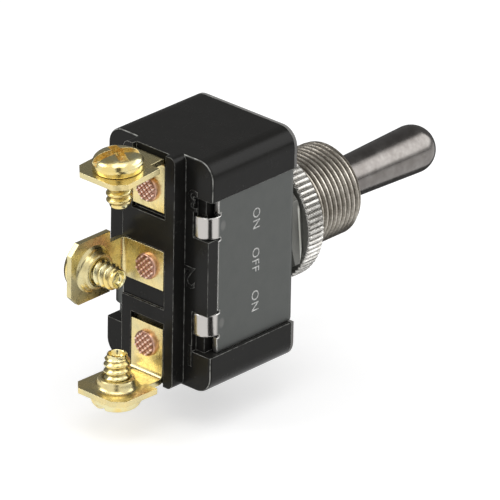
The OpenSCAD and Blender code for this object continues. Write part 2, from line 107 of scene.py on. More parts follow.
# A node tree, for a material, the world or a Geometry Nodes group
class Graph:
    def __init__(self, tree):
        self.tree = tree

    # Settings are set first, then each socket gets its value or link
    def add(self, kind, settings=None, sockets=None, out=0):
        node = self.tree.nodes.new(kind)
        for key, setting in (settings or {}).items():
            setattr(node, key, setting)
        for key, value in (sockets or {}).items():
            if isinstance(value, Value):
                self.tree.links.new(value.socket, node.inputs[key])
            else:
                node.inputs[key].default_value = value
        return Value(self, node.outputs[out]) if len(node.outputs) else None

    def maths(self, operation, *terms):
        return self.add("ShaderNodeMath", {"operation": operation}, dict(enumerate(terms)))

    def vectors(self, operation, *terms, out=0):
        return self.add("ShaderNodeVectorMath", {"operation": operation}, dict(enumerate(terms)), out)

    def split(self, vector):
        x = self.add("ShaderNodeSeparateXYZ", None, {0: vector})
        return x, x.other(1), x.other(2)

    def joined(self, x, y, z):
        return self.add("ShaderNodeCombineXYZ", None, {0: x, 1: y, 2: z})

    # Smooth step from 0 at low to 1 at high
    def step(self, value, low, high):
        return self.add("ShaderNodeMapRange", {"interpolation_type": "SMOOTHSTEP"},
                        {0: value, 1: low, 2: high})

    def blend(self, factor, first, second):
        return self.add("ShaderNodeMix", {"data_type": "RGBA"},
                        {0: factor, 6: tone(first), 7: tone(second)}, out=2)

    def noise(self, place, scale, detail, roughness, stretch=None):
        if stretch:
            place = self.add("ShaderNodeMapping", None, {"Vector": place, "Scale": stretch})
        return self.add("ShaderNodeTexNoise", None,
                        {"Vector": place, "Scale": scale, "Detail": detail, "Roughness": roughness})

    # Patches of noise: 0 below the low level and 1 above the high one
    def mask(self, place, scale, detail, roughness, low, high, stretch=None):
        return self.step(self.noise(place, scale, detail, roughness, stretch), low, high)

    def attribute(self, name):
        return self.add("ShaderNodeAttribute", {"attribute_name": name}, None, "Fac")

    # Object coordinates, in millimetres
    def place(self):
        spot = self.add("ShaderNodeTexCoord", out="Object")
        return self.add("ShaderNodeVectorMath", {"operation": "SCALE"}, {0: spot, "Scale": 1 / mm})

    # Normal rounded over the edges, and a mask that is 1 on them
    def edges(self, radius, low, high):
        rounded = self.add("ShaderNodeBevel", {"samples": 6}, {"Radius": radius * mm})
        plain = self.add("ShaderNodeNewGeometry", out="Normal")
        return rounded, self.step(1 - self.vectors("DOT_PRODUCT", rounded, plain, out="Value"), low, high)

    def bump(self, height, depth, normal=None):
        sockets = {"Height": height, "Distance": depth * mm, "Strength": 1.0}
        if normal:
            sockets["Normal"] = normal
        return self.add("ShaderNodeBump", None, sockets)


# Colours get their alpha, and anything else is passed on
def tone(colour):
    return (*colour, 1.0) if isinstance(colour, tuple) and len(colour) == 3 else colour


def newMaterial(name):
    made = bpy.data.materials.new(name)
    made.use_nodes = True
    made.node_tree.nodes.clear()
    return made, Graph(made.node_tree)


# Principled shader with these sockets
def surface(graph, sockets):
    inputs = {key: tone(value) for key, value in sockets.items()}
    shader = graph.add("ShaderNodeBsdfPrincipled", None, inputs)
    graph.add("ShaderNodeOutputMaterial", None, {"Surface": shader})


# In the looks, a noise is (scale, detail, roughness, stretch), a mask has the two levels it rises between
# after its roughness, edges are (radius, two levels), a span, rise or fall is two levels, and relief is the
# bump's depth in millimetres. The stretch may be left out.
mouldedLook = {
    "deep": (0.0125, 0.0123, 0.0115), "pale": (0.0205, 0.02, 0.0185), "wearAndHighlightTone": (0.5, 0.5, 0.47),
    "dusty": (0.05, 0.05, 0.047), "gloss": 0.17, "relief": 0.02, "edges": (0.16, 0.01, 0.2),
    "cloudNoise": (0.35, 4.0, 0.6), "grainNoise": (9.0, 3.0, 0.6), "leastWearAndHighlight": 0.22,
    "patchMask": (1.3, 4.0, 0.65, 0.36, 0.6), "rimRise": (0.42, 0.6), "rimFall": (0.68, 0.86),
    "scratchMask": (2.2, 3.0, 0.7, 0.66, 0.74, (4.0, 0.35, 0.35)),
    "dustMask": (5.5, 2.0, 0.5, 0.74, 0.8),
}


def mouldedBlack():
    look = mouldedLook
    made, graph = newMaterial("mouldedBlack")
    place = graph.place()
    cloud = graph.noise(place, *look["cloudNoise"])
    grain = graph.noise(place, *look["grainNoise"])
    rounded, edge = graph.edges(*look["edges"])
    patch = graph.mask(place, *look["patchMask"])
    # painted highlight: the moulded rims get a pale line where their rounding turns from one face to the next
    facing = graph.maths("ABSOLUTE", graph.split(graph.add("ShaderNodeNewGeometry", out="Normal"))[1])
    rim = graph.step(facing, *look["rimRise"]) * (1 - graph.step(facing, *look["rimFall"]))
    # the pale tone on the edges and rims is partly wear and partly painted highlight
    wearAndHighlight = graph.maths("MAXIMUM", edge, rim) * (look["leastWearAndHighlight"] + (1 - look["leastWearAndHighlight"]) * patch)
    scratch = graph.mask(place, *look["scratchMask"])
    dust = graph.mask(place, *look["dustMask"])
    body = graph.blend(cloud, look["deep"], look["pale"])
    body = graph.blend(0.3 * scratch + 0.25 * dust, body, look["dusty"])
    surface(graph, {
        "Base Color": graph.blend(wearAndHighlight, body, look["wearAndHighlightTone"]),
        "Roughness": look["gloss"] + 0.16 * cloud + 0.12 * scratch + 0.2 * wearAndHighlight,
        "IOR": 1.5,
        "Specular IOR Level": 0.12,
        "Normal": graph.bump(0.12 * grain + 0.9 * cloud, look["relief"], rounded),
    })
    return made


frameLook = {
    "sheet": (0.125, 0.13, 0.125), "dim": (0.095, 0.1, 0.096), "lug": (0.5, 0.48, 0.46),
    "edge": (0.85, 0.84, 0.81), "gloss": 0.4, "relief": 0.04, "edges": (0.28, 0.02, 0.18),
    "mottleNoise": (0.6, 4.0, 0.6), "rollNoise": (7.0, 3.0, 0.6, (1.0, 1.0, 0.12)),
    "lugStart": -18.5, "lugEnd": -19.0, "lugHeight": 6.4, "unshadedSide": (-6, -3),
    "dentAhead": 0.55, "dentHeight": 0.85, "dentLength": 0.6, "dentSpan": (0.4, 1.0),
}


def satinSteel():
    look = frameLook
    made, graph = newMaterial("satinSteel")
    place = graph.place()
    x, y, z = graph.split(place)
    rounded, edge = graph.edges(*look["edges"])
    mottle = graph.noise(place, *look["mottleNoise"])
    roll = graph.noise(place, *look["rollNoise"])
    # the bent lugs are polished; those on the -X side keep the dull sheet colour and roughness as painted shade
    lug = graph.step(y, look["lugStart"], look["lugEnd"]) * graph.step(x, *look["unshadedSide"])
    # the punch left a dull dent in the leg beside each lug
    across = (graph.maths("ABSOLUTE", z) - look["lugHeight"]) / look["dentHeight"]
    along = (y - look["lugStart"] - look["dentAhead"]) / look["dentLength"]
    dent = 1 - graph.step(graph.maths("SQRT", across * across + along * along), *look["dentSpan"])
    sheet = graph.blend(mottle, look["dim"], look["sheet"])
    sheet = graph.blend(0.14 * dent, sheet, look["lug"])
    sheet = graph.blend(lug, sheet, look["lug"])
    surface(graph, {
        # painted highlight: the rounded edges are blended to a pale colour
        "Base Color": graph.blend(edge, sheet, look["edge"]),
        "Metallic": 1.0,
        "Roughness": look["gloss"] + 0.1 * mottle - 0.3 * lug - 0.08 * edge,
        "Normal": graph.bump(0.2 * roll * (1 - lug) + 0.35 * mottle - 0.5 * dent, look["relief"], rounded),
    })
    return made


nickelLook = {
    "worn": (0.7, 0.66, 0.58), "crest": (0.5, 0.465, 0.41), "warm": (0.3, 0.272, 0.228),
    "root": (0.05, 0.042, 0.034), "gloss": 0.2, "relief": 0.03, "cloudMask": (0.7, 4.0, 0.65, 0.3, 0.7),
    "fleckNoise": (4.5, 3.0, 0.6), "wearMask": (3.0, 2.0, 0.7, 0.52, 0.6),
    "upperShadeSpan": (1.5, 5.0), "grimeAndShadeSpan": (0.6, 1.45),
}


# Turned thread: the groove attribute is 0 on the crests and 1 in the roots
def agedNickel():
    look = nickelLook
    made, graph = newMaterial("agedNickel")
    place = graph.place()
    groove = graph.attribute("groove")
    cloud = graph.mask(place, *look["cloudMask"])
    fleck = graph.noise(place, *look["fleckNoise"])
    x, y, z = graph.split(place)
    worn = graph.mask(place, *look["wearMask"]) * (1 - groove)
    metal = graph.blend(cloud, look["warm"], look["crest"])
    metal = graph.blend(0.45 * worn, metal, look["worn"])
    # painted shade: the upper side is darker
    upper = graph.step(z - 0.35 * x, *look["upperShadeSpan"])
    # darker in the thread roots, in random flecks of dirt, and on the upper side as painted shade
    grimeAndShade = graph.step(groove + 0.8 * fleck + 0.45 * upper, *look["grimeAndShadeSpan"])
    surface(graph, {
        "Base Color": graph.blend(0.88 * grimeAndShade, metal, look["root"]),
        "Metallic": 1.0,
        "Roughness": look["gloss"] + 0.25 * fleck + 0.15 * grimeAndShade,
        "Normal": graph.bump(0.7 * fleck + 0.3 * cloud, look["relief"]),
    })
    return made


nutLook = {
    "dull": (0.36, 0.345, 0.32), "bright": (0.58, 0.57, 0.54), "root": (0.08, 0.075, 0.068),
    "speck": (0.75, 0.74, 0.71), "edge": (0.85, 0.84, 0.81), "flat": (0.17, 0.17, 0.155),
    "highlightLine": (0.97, 0.97, 0.88), "gloss": 0.16, "relief": 0.03, "edges": (0.08, 0.02, 0.25),
    "cloudMask": (0.9, 4.0, 0.6, 0.3, 0.7), "fleckNoise": (6.0, 3.0, 0.6), "rootSpan": (0.4, 1.15),
    "speckMask": (3.0, 2.0, 0.6, 0.5, 0.62), "hexFront": -2.94, "hexFade": 0.02,
    "lineAt": -3.42, "lineSlope": 0.02, "lineWidth": (0.2, 0.08), "lineReach": (4.1, 3.2),
}


def brightNickel():
    look = nutLook
    made, graph = newMaterial("brightNickel")
    place = graph.place()
    rounded, edge = graph.edges(*look["edges"])
    groove = graph.attribute("groove")
    cloud = graph.mask(place, *look["cloudMask"])
    fleck = graph.noise(place, *look["fleckNoise"])
    # painted highlight: the flats of the hex nut get a bright white line, which is not metallic
    x, y, z = graph.split(place)
    away = graph.maths("ABSOLUTE", y - look["lineAt"] + look["lineSlope"] * z)
    highlightLine = graph.step(away, *look["lineWidth"])
    highlightLine = highlightLine * graph.step(graph.maths("ABSOLUTE", z), *look["lineReach"])
    speck = graph.mask(place, *look["speckMask"])
    metal = graph.blend(cloud, look["dull"], look["bright"])
    metal = graph.blend(0.85 * graph.step(groove + 0.3 * fleck, *look["rootSpan"]), metal, look["root"])
    metal = graph.blend(0.5 * speck * (1 - groove), metal, look["speck"])
    # only the hex nut lies behind this height
    flat = graph.step(y, look["hexFront"] + look["hexFade"], look["hexFront"] - look["hexFade"])
    metal = graph.blend(flat, metal, look["flat"])
    metal = graph.blend(flat * highlightLine, metal, look["highlightLine"])
    surface(graph, {
        "Base Color": graph.blend(0.5 * edge, metal, look["edge"]),
        "Metallic": 1 - flat * (0.6 + 0.4 * highlightLine),
        "Roughness": look["gloss"] + 0.2 * fleck + 0.15 * flat * (1 - highlightLine),
        "Normal": graph.bump(0.5 * fleck + 0.3 * cloud + 0.4 * speck, look["relief"], rounded),
    })
    return made


leverLook = {
    "dark": (0.17, 0.157, 0.148), "light": (0.24, 0.226, 0.215), "stain": (0.14, 0.125, 0.112),
    "speck": (0.42, 0.4, 0.38), "gloss": 0.16, "relief": 0.006, "cloudNoise": (0.5, 4.0, 0.6),
    "cloudSpan": (0.3, 0.7), "ringNoise": (5.0, 3.0, 0.6, (0.2, 3.0, 0.2)),
    "speckMask": (3.2, 3.0, 0.7, 0.68, 0.76), "stainMask": (1.6, 4.0, 0.7, 0.42, 0.66),
}


# Polished lever, with the faint rings that polishing leaves
def darkNickel():
    look = leverLook
    made, graph = newMaterial("darkNickel")
    place = graph.place()
    cloud = graph.noise(place, *look["cloudNoise"])
    rings = graph.noise(place, *look["ringNoise"])
    speck = graph.mask(place, *look["speckMask"])
    stain = graph.mask(place, *look["stainMask"])
    metal = graph.blend(graph.step(cloud, *look["cloudSpan"]), look["dark"], look["light"])
    metal = graph.blend(0.22 * stain, metal, look["stain"])
    surface(graph, {
        "Base Color": graph.blend(0.35 * speck, metal, look["speck"]),
        "Metallic": 1.0,
        "Roughness": look["gloss"] + 0.08 * cloud + 0.04 * rings,
        "Normal": graph.bump(0.4 * rings + 0.5 * cloud, look["relief"]),
    })
    return made


brassLook = {
    "gold": (0.82, 0.67, 0.32), "olive": (0.68, 0.6, 0.33), "tarnish": (0.4, 0.31, 0.13),
    "edge": (0.92, 0.87, 0.64), "gloss": 0.2, "relief": 0.012, "edges": (0.1, 0.03, 0.3),
    "driftMask": (0.28, 3.0, 0.55, 0.35, 0.65), "stainMask": (0.8, 4.0, 0.6, 0.52, 0.75),
    "rollNoise": (6.0, 3.0, 0.6, (1.0, 0.15, 0.15)),
    "scratchMask": (3.0, 4.0, 0.7, 0.64, 0.72, (3.0, 0.4, 0.5)),
}


# Stamped sheet with a yellow passivation that drifts towards olive
def stampedBrass():
    look = brassLook
    made, graph = newMaterial("stampedBrass")
    place = graph.place()
    rounded, edge = graph.edges(*look["edges"])
    drift = graph.mask(place, *look["driftMask"])
    stain = graph.mask(place, *look["stainMask"])
    roll = graph.noise(place, *look["rollNoise"])
    scratch = graph.mask(place, *look["scratchMask"])
    metal = graph.blend(drift, look["gold"], look["olive"])
    metal = graph.blend(0.35 * stain, metal, look["tarnish"])
    metal = graph.blend(0.35 * scratch, metal, look["edge"])
    surface(graph, {
        "Base Color": graph.blend(0.4 * edge, metal, look["edge"]),
        "Metallic": 1.0,
        "Roughness": look["gloss"] + 0.14 * roll + 0.16 * stain,
        "Normal": graph.bump(0.35 * roll + 0.4 * drift + 0.3 * scratch, look["relief"], rounded),
    })
    return made


screwLook = {
    "gold": (0.84, 0.66, 0.25), "pale": (0.8, 0.74, 0.44), "root": (0.3, 0.2, 0.06),
    "edge": (0.96, 0.88, 0.6), "recess": (0.93, 0.66, 0.27), "glint": (0.98, 0.93, 0.66),
    "gloss": 0.12, "relief": 0.01, "edges": (0.08, 0.03, 0.3),
    "driftMask": (0.5, 3.0, 0.6, 0.35, 0.65), "fleckNoise": (5.0, 3.0, 0.6), "rootSpan": (0.5, 1.2),
    "glintMask": (1.1, 3.0, 0.6, 0.46, 0.56),
}


def brightBrass():
    look = screwLook
    made, graph = newMaterial("brightBrass")
    place = graph.place()
    groove = graph.attribute("groove")
    rounded, edge = graph.edges(*look["edges"])
    drift = graph.mask(place, *look["driftMask"])
    fleck = graph.noise(place, *look["fleckNoise"])
    metal = graph.blend(drift, look["gold"], look["pale"])
    metal = graph.blend(0.7 * graph.step(groove + 0.3 * fleck, *look["rootSpan"]), metal, look["root"])
    recess = graph.attribute("recess")
    glint = graph.mask(place, *look["glintMask"])
    metal = graph.blend(recess, metal, graph.blend(glint, look["recess"], look["glint"]))
    surface(graph, {
        "Base Color": graph.blend(0.5 * edge, metal, look["edge"]),
        "Metallic": 1 - 0.18 * recess,
        "Roughness": look["gloss"] + 0.16 * fleck + 0.1 * groove,
        "Normal": graph.bump(0.5 * fleck + 0.5 * drift, look["relief"], rounded),
    })
    return made


copperLook = {
    "deep": (0.66, 0.36, 0.25), "light": (0.85, 0.56, 0.44), "tip": (0.93, 0.7, 0.6),
    "between": (0.2, 0.085, 0.055), "edge": (0.9, 0.68, 0.56), "gloss": 0.22, "relief": 0.01,
    "edges": (0.05, 0.05, 0.4), "driftNoise": (1.2, 3.0, 0.6), "fleckNoise": (7.0, 3.0, 0.6),
    "tipsAt": -23.12, "tipFade": 0.08, "faceAt": -22.96, "sideAt": -22.86,
}


def headedCopper():
    look = copperLook
    made, graph = newMaterial("headedCopper")
    place = graph.place()
    rounded, edge = graph.edges(*look["edges"])
    drift = graph.noise(place, *look["driftNoise"])
    fleck = graph.noise(place, *look["fleckNoise"])
    metal = graph.blend(drift, look["deep"], look["light"])
    # painted highlight on the points of the waffle and painted shade between them
    x, y, z = graph.split(place)
    tip = 1 - graph.step(y, look["tipsAt"] - look["tipFade"], look["tipsAt"])
    between = graph.step(y, look["tipsAt"], look["faceAt"]) * graph.step(y, look["sideAt"], look["faceAt"])
    metal = graph.blend(tip, metal, look["tip"])
    metal = graph.blend(0.75 * between, metal, look["between"])
    surface(graph, {
        "Base Color": graph.blend(0.6 * edge, metal, look["edge"]),
        "Metallic": 1.0,
        "Roughness": look["gloss"] + 0.2 * fleck,
        "Normal": graph.bump(fleck, look["relief"], rounded),
    })
    return made


inkLook = {"faded": (0.34, 0.34, 0.33), "fresh": (0.85, 0.85, 0.83), "gloss": 0.5, "relief": 0.01,
           "wearMask": (3.5, 4.0, 0.7, 0.36, 0.6)}


def stampInk():
    look = inkLook
    made, graph = newMaterial("stampInk")
    wear = graph.mask(graph.place(), *look["wearMask"])
    surface(graph, {
        "Base Color": graph.blend(wear, look["faded"], look["fresh"]),
        "Roughness": look["gloss"] + 0.2 * wear,
        "Normal": graph.bump(wear, look["relief"]),
    })
    return made


# Finishes that one noise is enough for, most of them on hidden pieces
plainLooks = {
    "pressedFibre": {"dark": (0.1, 0.1, 0.098), "light": (0.32, 0.31, 0.3), "metallic": 0.0, "gloss": 0.6,
                     "dulling": 0.3, "relief": 0.03, "noise": (3.0, 5.0, 0.7, (1.0, 4.0, 0.6))},
    "drawnSteel": {"dark": (0.36, 0.36, 0.35), "light": (0.5, 0.5, 0.49), "metallic": 1.0, "gloss": 0.25,
                   "dulling": 0.2, "relief": 0.008, "noise": (6.0, 3.0, 0.6, (0.1, 1.0, 1.0))},
    "mouldedNylon": {"dark": (0.62, 0.57, 0.46), "light": (0.74, 0.7, 0.6), "metallic": 0.0, "gloss": 0.35,
                     "dulling": 0.2, "relief": 0.01, "noise": (2.0, 4.0, 0.6)},
    "satinSilver": {"dark": (0.66, 0.64, 0.58), "light": (0.8, 0.79, 0.76), "metallic": 1.0, "gloss": 0.2,
                    "dulling": 0.2, "relief": 0.006, "noise": (3.0, 4.0, 0.6)},
}


def plainFinish(name):
    look = plainLooks[name]
    made, graph = newMaterial(name)
    haze = graph.noise(graph.place(), *look["noise"])
    surface(graph, {
        "Base Color": graph.blend(haze, look["dark"], look["light"]),
        "Metallic": look["metallic"],
        "Roughness": look["gloss"] + look["dulling"] * haze,
        "Normal": graph.bump(haze, look["relief"]),
    })
    return made


finishes = {
    "phenolic": mouldedBlack(), "fibre": plainFinish("pressedFibre"), "frame_steel": satinSteel(),
    "nickel": agedNickel(), "bright_nickel": brightNickel(), "dark_nickel": darkNickel(),
    "pin_steel": plainFinish("drawnSteel"), "nylon": plainFinish("mouldedNylon"), "brass": stampedBrass(),
    "copper": headedCopper(), "contact_silver": plainFinish("satinSilver"), "screw_brass": brightBrass(),
    "ink": stampInk(),
}
for part in frame["record"]["subparts"]:
    mesh = nodes[part["node"]].data
    mesh.materials.clear()
    mesh.materials.append(finishes[part["material_slot"]])
print("materials made for", len(nodes), "nodes")


mergeDistance = 2e-6


# Turned shape round local z, from (radius, height) pairs in millimetres
def turned(profile, segments, closed=False):
    made = bmesh.new()
    rings = []
    for radius, height in profile:
        count = segments if radius > 0 else 1
        rings.append([made.verts.new((radius * mm * math.cos(math.tau * k / segments),
                                      radius * mm * math.sin(math.tau * k / segments), height * mm))
                      for k in range(count)])
    for lower, upper in zip(rings, rings[1:] + ([rings[0]] if closed else [])):
        for k in range(segments):
            j = (k + 1) % segments
            corners = [lower[k % len(lower)], lower[j % len(lower)],
                       upper[j % len(upper)], upper[k % len(upper)]]
            made.faces.new(list(dict.fromkeys(corners)))
    return made


# Points on an ellipse, between two angles in degrees
def arc(centre, radii, start, end, steps):
    angles = [math.radians(start + (end - start) * k / steps) for k in range(steps + 1)]
    return [(centre[0] + radii[0] * math.cos(a), centre[1] + radii[1] * math.sin(a)) for a in angles]


# Plain mesh from a bmesh: doubles merged, normals outward, smooth but for its sharp edges
def plainMesh(made, name, sharp=38):
    bmesh.ops.remove_doubles(made, verts=made.verts, dist=mergeDistance)
    bmesh.ops.recalc_face_normals(made, faces=made.faces)
    mesh = bpy.data.meshes.new(name)
    made.to_mesh(mesh)
    made.free()
    for face in mesh.polygons:
        face.use_smooth = True
    mesh.set_sharp_from_angle(angle=math.radians(sharp))
    return mesh


def linked(name, mesh):
    thing = bpy.data.objects.new(name, mesh)
    scene.collection.objects.link(thing)
    return thing


# Plain mesh of an object with its modifiers, which replaces the object
def evaluated(thing):
    graph = bpy.context.evaluated_depsgraph_get()
    mesh = bpy.data.meshes.new_from_object(thing.evaluated_get(graph))
    bpy.data.objects.remove(thing)
    return mesh


# A finished piece, put in its place through its mesh
def piece(name, mesh, body, slot, move=None, stands=(), finish=None):
    if move:
        mesh.transform(move)
    mesh.materials.clear()
    mesh.materials.append(finishes[finish or slot])
    thing = linked(name, mesh)
    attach(thing, body)
    if stands:
        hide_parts(*stands)
    return thing


# Geometry Nodes tree with named inputs, and the sockets that give them
def newTree(name, inputs):
    tree = bpy.data.node_groups.new(name, "GeometryNodeTree")
    for key, kind in {"Geometry": "Geometry", **inputs, "Material": "Material"}.items():
        tree.interface.new_socket(key, in_out="INPUT", socket_type="NodeSocket" + kind)
    tree.interface.new_socket("Geometry", in_out="OUTPUT", socket_type="NodeSocketGeometry")
    graph = Graph(tree)
    given = graph.add("NodeGroupInput")
    return tree, graph, {key: given.other(key) for key in ["Geometry", *inputs, "Material"]}


def endTree(graph, given, geometry):
    real = graph.add("GeometryNodeRealizeInstances", None, {"Geometry": geometry})
    painted = graph.add("GeometryNodeSetMaterial", None, {"Geometry": real, "Material": given["Material"]})
    graph.add("NodeGroupOutput", None, {"Geometry": painted})


# Runs a tree on a mesh, or on nothing, and gives back the plain result
def grown(tree, values, mesh=None):
    carrier = linked("carrier", mesh or bpy.data.meshes.new("empty"))
    modifier = carrier.modifiers.new("grow", "NODES")
    modifier.node_group = tree
    for item in tree.interface.items_tree:
        if item.in_out == "INPUT" and item.name in values:
            modifier[item.identifier] = values[item.name]
    return evaluated(carrier)


# Frames of the pieces: z out along the bushing from the frame's face, and z out of the rear face
freeThreadStart = 5.0
frontFrame = Matrix.Translation((0, -freeThreadStart * mm, 0)) @ Matrix.Rotation(math.radians(-90), 4, "X")
rearFrame = Matrix.Rotation(math.radians(90), 4, "X")


# Frame of a tab's screw: z out of its outer face, along the screw
def tabFrame(number):
    mount = mounts["wire_terminal_%d" % number]
    out = Vector(mount["axis"]).normalized()
    side = Vector((0, 0, 1)) if number == 2 else Vector((1, 0, 0))
    across = out.cross(side).normalized()
    return Matrix.Translation(Vector(mount["pos_m"])) @ Matrix((side, across, out)).transposed().to_4x4()


flankGain = 1.28  # above 1, the crests of a thread are flat


# Each row of the grid follows the helix, so the crests stay even, and both ends taper in
def threadTree():
    sizes = {"Radius": "Float", "Depth": "Float", "Pitch": "Float", "Start": "Float", "End": "Float",
             "End Radius": "Float", "Segments": "Int", "Rows": "Int", "Steps": "Float"}
    tree, graph, given = newTree("thread", sizes)
    grid = graph.add("GeometryNodeMeshGrid", None,
                     {"Size X": 1.0, "Size Y": 1.0, "Vertices X": given["Segments"] + 1,
                      "Vertices Y": given["Rows"] + 1})
    x, y, z = graph.split(graph.add("GeometryNodeInputPosition"))
    turn = x + 0.5
    turns = (y + 0.5) * given["Rows"] / given["Steps"]
    free = given["Start"] + (turns + turn - 1) * given["Pitch"]
    height = graph.maths("MINIMUM", graph.maths("MAXIMUM", free, given["Start"]), given["End"])
    # the small shift keeps each whole turn on one side of the jump
    ramp = graph.maths("ABSOLUTE", graph.maths("FRACT", turns + 0.001) - 0.5) * 2
    crest = graph.maths("MINIMUM", ramp * flankGain, 1.0)
    radius = given["Radius"] - given["Depth"] * (1 - crest)
    inset = graph.maths("MINIMUM", height - given["Start"], given["End"] - height)
    radius = graph.maths("MINIMUM", radius, given["End Radius"] + inset)
    marked = graph.add("GeometryNodeStoreNamedAttribute", {"data_type": "FLOAT", "domain": "POINT"},
                       {"Geometry": grid, "Name": "groove", "Value": 1 - crest})
    angle = turn * math.tau
    spot = graph.joined(radius * graph.maths("COSINE", angle), radius * graph.maths("SINE", angle), height)
    moved = graph.add("GeometryNodeSetPosition", None, {"Geometry": marked, "Position": spot})
    merged = graph.add("GeometryNodeMergeByDistance", None, {"Geometry": moved, "Distance": mergeDistance})
    endTree(graph, given, merged)
    return tree


threads = threadTree()


def threadedTube(sizes, finish):
    steps = sizes["steps"]
    rows = math.ceil(((sizes["end"] - sizes["start"]) / sizes["pitch"] + 1) * steps) + 1
    return grown(threads, {
        "Radius": sizes["radius"] * mm, "Depth": sizes["depth"] * mm, "Pitch": sizes["pitch"] * mm,
        "Start": sizes["start"] * mm, "End": sizes["end"] * mm, "End Radius": sizes["endRadius"] * mm,
        "Segments": sizes["segments"], "Rows": rows, "Steps": float(steps), "Material": finishes[finish],
    })


# Threaded tube and turned rest as one closed shell
def threadedShell(sizes, profile, finish, name, closed=False):
    made = turned(profile, sizes["segments"], closed)
    made.from_mesh(threadedTube(sizes, finish))
    return plainMesh(made, name)


bushing = {
    "thread": {"radius": 5.953, "depth": 0.42, "pitch": 0.794, "start": 0.0, "end": 14.3, "endRadius": 5.5,
               "segments": 144, "steps": 8},
    "mouthRadius": 4.819, "mouthBevel": 0.12, "lipRadius": 5.3, "throat": (2.96, 7.32),
    "pivot": 5.0, "seatRadius": 3.75, "seatAngle": 38.2, "seatSteps": 10,
    "neckRadius": 4.983, "rimRadius": 5.483, "rimStart": -0.76, "rimEnd": -1.06,
}


def makeBushing():
    b = bushing
    end = b["thread"]["end"]
    root = b["thread"]["endRadius"]
    mouth = b["mouthRadius"]
    profile = [(root, end), (b["lipRadius"], end), (mouth + b["mouthBevel"], end),
               (mouth, end - b["mouthBevel"]), b["throat"]]
    profile += arc((0, b["pivot"]), (b["seatRadius"], b["seatRadius"]), b["seatAngle"], 0, b["seatSteps"])
    profile += [(b["seatRadius"], b["rimEnd"]), (b["rimRadius"], b["rimEnd"]),
                (b["rimRadius"], b["rimStart"]), (b["neckRadius"], b["rimStart"]),
                (b["neckRadius"], 0), (root, 0)]
    mesh = threadedShell(b["thread"], profile, "nickel", "bushing")
    piece("threadedBushing", mesh, "housing", "nickel", frontFrame, ["bushing"])


makeBushing()
print("bushing threaded")


knurledNut = {"base": 2.02, "height": 2.78, "radius": 8.335, "depth": 0.34, "bore": 6.003, "faceRadius": 8.0,
              "bevel": 0.28, "mouthWidth": 0.2, "mouthHeight": 0.25, "teeth": 72, "perTooth": 6,
              "flankGain": 1.5, "darkDepth": 0.1}


# Cuts straight teeth into whatever stands proud of the root circle
def knurlTree():
    sizes = {"Root": "Float", "Depth": "Float", "Teeth": "Float", "Flank Gain": "Float",
             "Dark Depth": "Float"}
    tree, graph, given = newTree("knurl", sizes)
    place = graph.add("GeometryNodeInputPosition")
    x, y, z = graph.split(place)
    radius = graph.maths("SQRT", x * x + y * y)
    # the small shift keeps each root on one side of the jump
    tooth = graph.maths("FRACT", graph.maths("ARCTAN2", y, x) / math.tau * given["Teeth"] + 0.0001)
    wave = 1 - graph.maths("ABSOLUTE", tooth * 2 - 1)
    height = graph.maths("MINIMUM", wave * given["Flank Gain"], 1.0)
    share = graph.maths("MINIMUM", radius, given["Root"] + given["Depth"] * height) / radius
    # everything inside the root circle is marked as groove too, so it turns darker like the roots
    below = graph.step(radius, given["Root"], given["Root"] - given["Dark Depth"])
    groove = graph.maths("MAXIMUM", 1 - height, below)
    marked = graph.add("GeometryNodeStoreNamedAttribute", {"data_type": "FLOAT", "domain": "POINT"},
                       {"Geometry": given["Geometry"], "Name": "groove", "Value": groove})
    moved = graph.add("GeometryNodeSetPosition", None,
                      {"Geometry": marked, "Position": graph.joined(x * share, y * share, z)})
    endTree(graph, given, moved)
    return tree


def makeKnurledNut():
    n = knurledNut
    top = n["height"]
    slope = n["bevel"]
    rim = n["radius"] - n["faceRadius"]
    mouth = n["bore"] + n["mouthWidth"]
    profile = [(n["bore"], n["mouthHeight"]), (mouth, 0), (n["faceRadius"], 0)]
    profile += [(n["faceRadius"] + rim * s, slope * s * s) for s in (0.35, 0.7, 1.0)]
    profile += [(n["radius"], slope + (top - 2 * slope) * s) for s in (0.25, 0.5, 0.75)]
    profile += [(n["faceRadius"] + rim * s, top - slope * s * s) for s in (1.0, 0.7, 0.35)]
    profile += [(n["faceRadius"], top), (mouth, top), (n["bore"], top - n["mouthHeight"])]
    ring = plainMesh(turned(profile, n["teeth"] * n["perTooth"], closed=True), "knurlBlank")
    mesh = grown(knurlTree(), {
        "Root": (n["radius"] - n["depth"]) * mm, "Depth": n["depth"] * mm, "Teeth": float(n["teeth"]),
        "Flank Gain": n["flankGain"], "Dark Depth": n["darkDepth"] * mm,
        "Material": finishes["bright_nickel"],
    }, ring)
    mesh.set_sharp_from_angle(angle=math.radians(30))
    move = frontFrame @ Matrix.Translation((0, 0, n["base"] * mm))
    piece("knurledRing", mesh, "dress_nut", "bright_nickel", move, ["knurled_nut"])


makeKnurledNut()
print("nut knurled")


lever = {
    "pivot": 5.0, "ball": 3.7, "ballAngles": (-55.4, 50), "rootRadius": 2.16,
    "tip": 29.6, "tipRadius": 3.05, "tipAngles": (2, 86), "neckStart": 8.3, "neckStep": 2.1, "neckRings": 11,
    "shankRadius": 2.1, "shankEnd": -4.0, "shankBevel": 0.15, "boreRadius": 1.35, "boreEnd": 2.5,
    "segments": 96, "arcSteps": 16,
}


